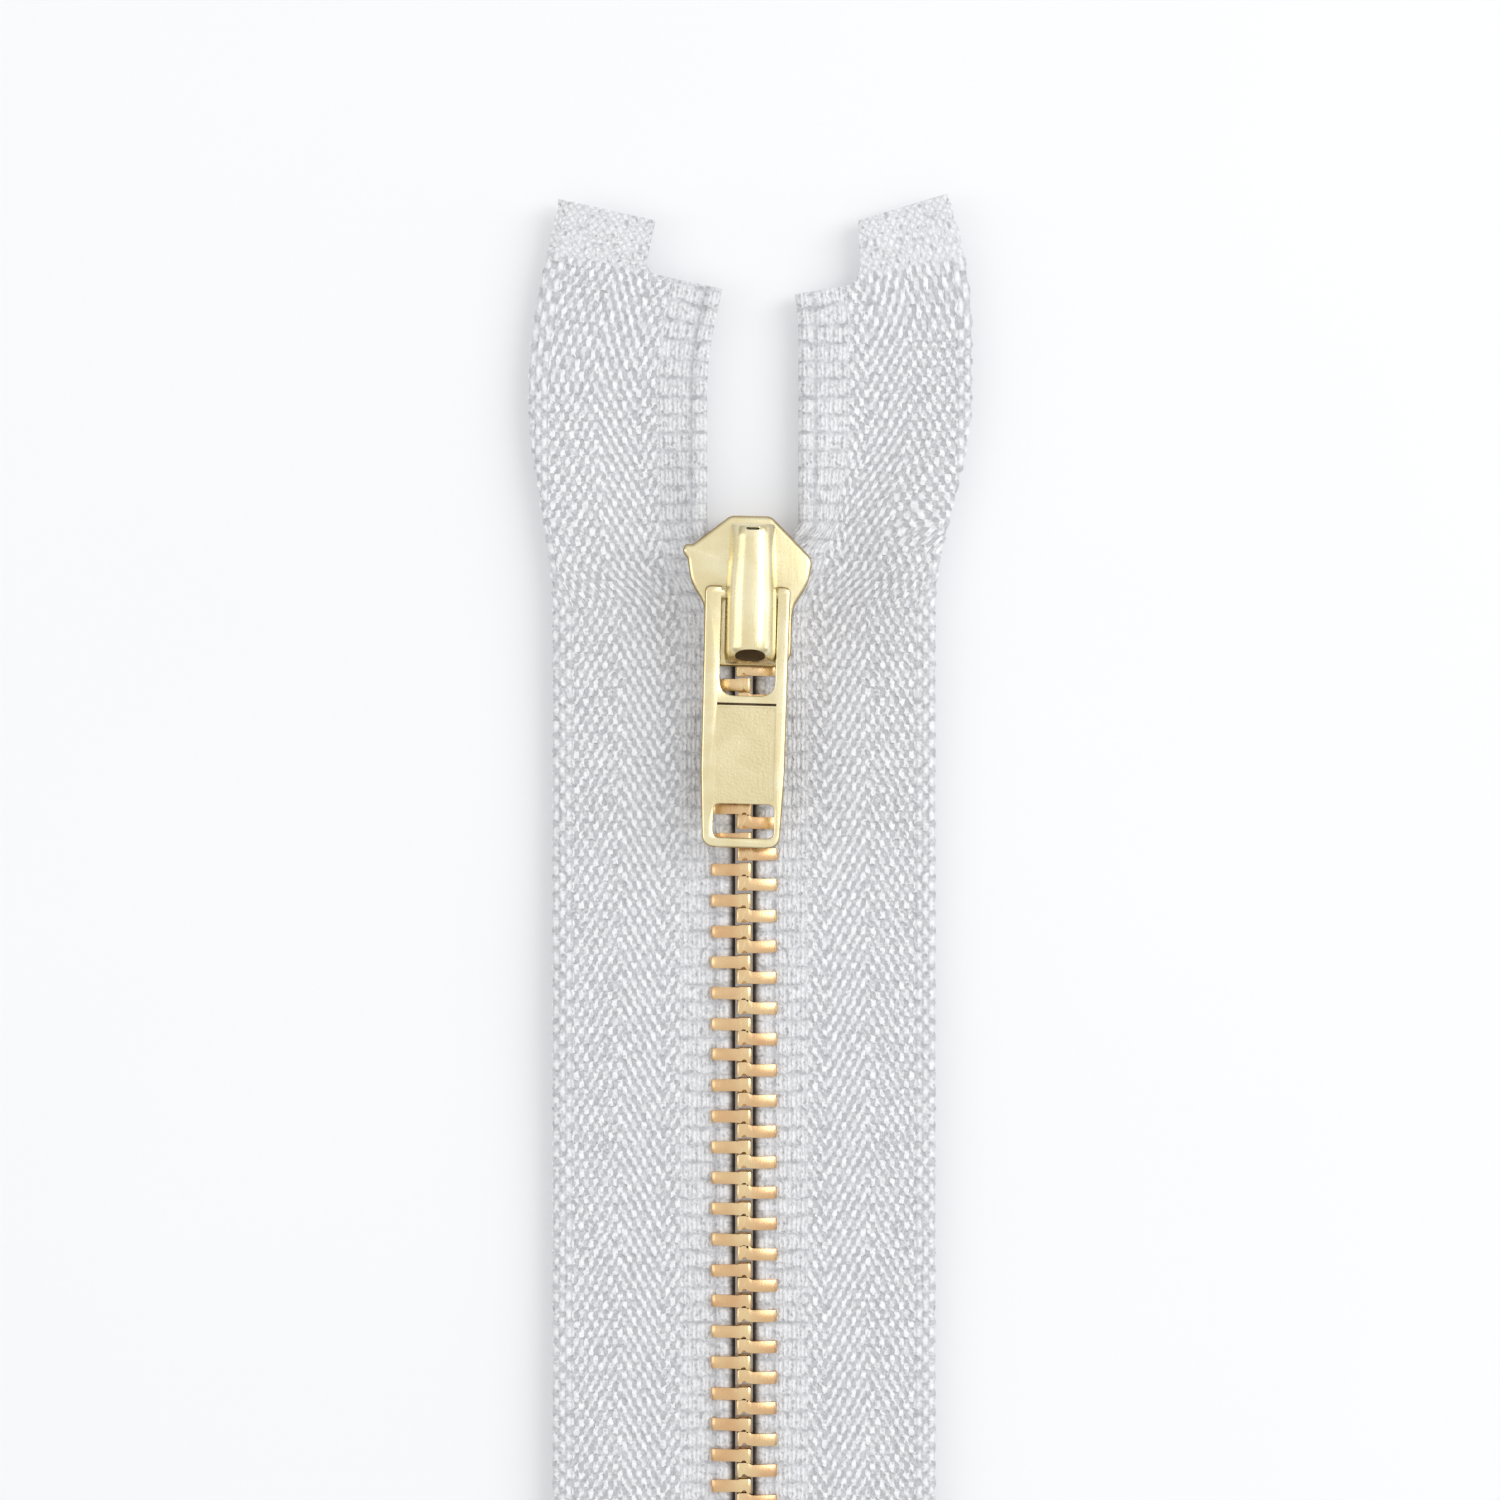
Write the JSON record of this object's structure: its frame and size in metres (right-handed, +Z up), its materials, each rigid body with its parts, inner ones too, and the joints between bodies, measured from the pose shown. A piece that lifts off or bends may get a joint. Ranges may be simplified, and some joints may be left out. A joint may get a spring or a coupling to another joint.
{
  "type": "zipper",
  "caption": "Closed-end metal zipper with brass teeth on white woven tapes, a gold slider with a locking crown and a slotted pull.",
  "frame": {"origin": "centre of the bounding box at its lowest point, on the chain's centre line", "axes": "+X across the tapes, +Y along the chain towards the open end, +Z up out of the front face"},
  "size_m": [0.0304, 0.1478, 0.007],
  "materials": {
    "brass": "polished stamped brass",
    "gold_plate": "bright pale gold plating",
    "spring_steel": "rolled spring strip",
    "tape_cloth": "white herringbone woven tape"
  },
  "bodies": {
    "base": {"bottom_stop": "brass", "left_tape_base": "tape_cloth", "right_tape_base": "tape_cloth", "left_teeth_base": "brass", "right_teeth_base": "brass"},
    "left_strand": {"left_tape": "tape_cloth", "left_teeth_1": "brass", "left_teeth_2": "brass", "left_teeth_3": "brass", "left_teeth_4": "brass", "left_teeth_5": "brass", "left_teeth_6": "brass", "left_teeth_7": "brass", "left_teeth_8": "brass", "left_top_stop": "brass"},
    "right_strand": {"right_tape": "tape_cloth", "right_teeth_1": "brass", "right_teeth_2": "brass", "right_teeth_3": "brass", "right_teeth_4": "brass", "right_teeth_5": "brass", "right_teeth_6": "brass", "right_teeth_7": "brass", "right_teeth_8": "brass", "right_top_stop": "brass"},
    "slider": {"slider_body": "gold_plate", "slider_crown": "gold_plate"},
    "pull": {"pull_tab": "gold_plate"},
    "lock": {"lock_spring": "spring_steel"}
  },
  "joints": [
    {"name": "slider_travel", "type": "slide", "parent": "base", "child": "slider", "axis": [0, -1, 0], "range_m": [0, 0.09405]},
    {"name": "left_strand_swing", "type": "hinge", "parent": "base", "child": "left_strand", "pos_m": [-0.0014, -0.0485, 0.002], "axis": [0, 0, 1], "range_deg": [0, 15], "deforming": ["left_tape", "left_teeth_1", "left_teeth_2", "left_teeth_3", "left_teeth_4", "left_teeth_5", "left_teeth_6", "left_teeth_7", "left_teeth_8"]},
    {"name": "right_strand_swing", "type": "hinge", "parent": "base", "child": "right_strand", "pos_m": [0.0014, -0.0485, 0.002], "axis": [0, 0, -1], "range_deg": [0, 15], "deforming": ["right_tape", "right_teeth_1", "right_teeth_2", "right_teeth_3", "right_teeth_4", "right_teeth_5", "right_teeth_6", "right_teeth_7", "right_teeth_8"]},
    {"name": "pull_swing", "type": "hinge", "parent": "slider", "child": "pull", "pos_m": [0, 0.04665, 0.00465], "axis": [-1, 0, 0], "range_deg": [0, 180]},
    {"name": "lock_lift", "type": "hinge", "parent": "slider", "child": "lock", "pos_m": [0, 0.05105, 0.0053], "axis": [-1, 0, 0], "range_deg": [0, 5]}
  ],
  "couplings": [
    {"joint": "left_strand_swing", "follows": "slider_travel", "rad_per_m": 2.7836},
    {"joint": "right_strand_swing", "follows": "slider_travel", "rad_per_m": 2.7836},
    {"joint": "lock_lift", "follows": "pull_swing", "ratio": 0.02777}
  ]
}
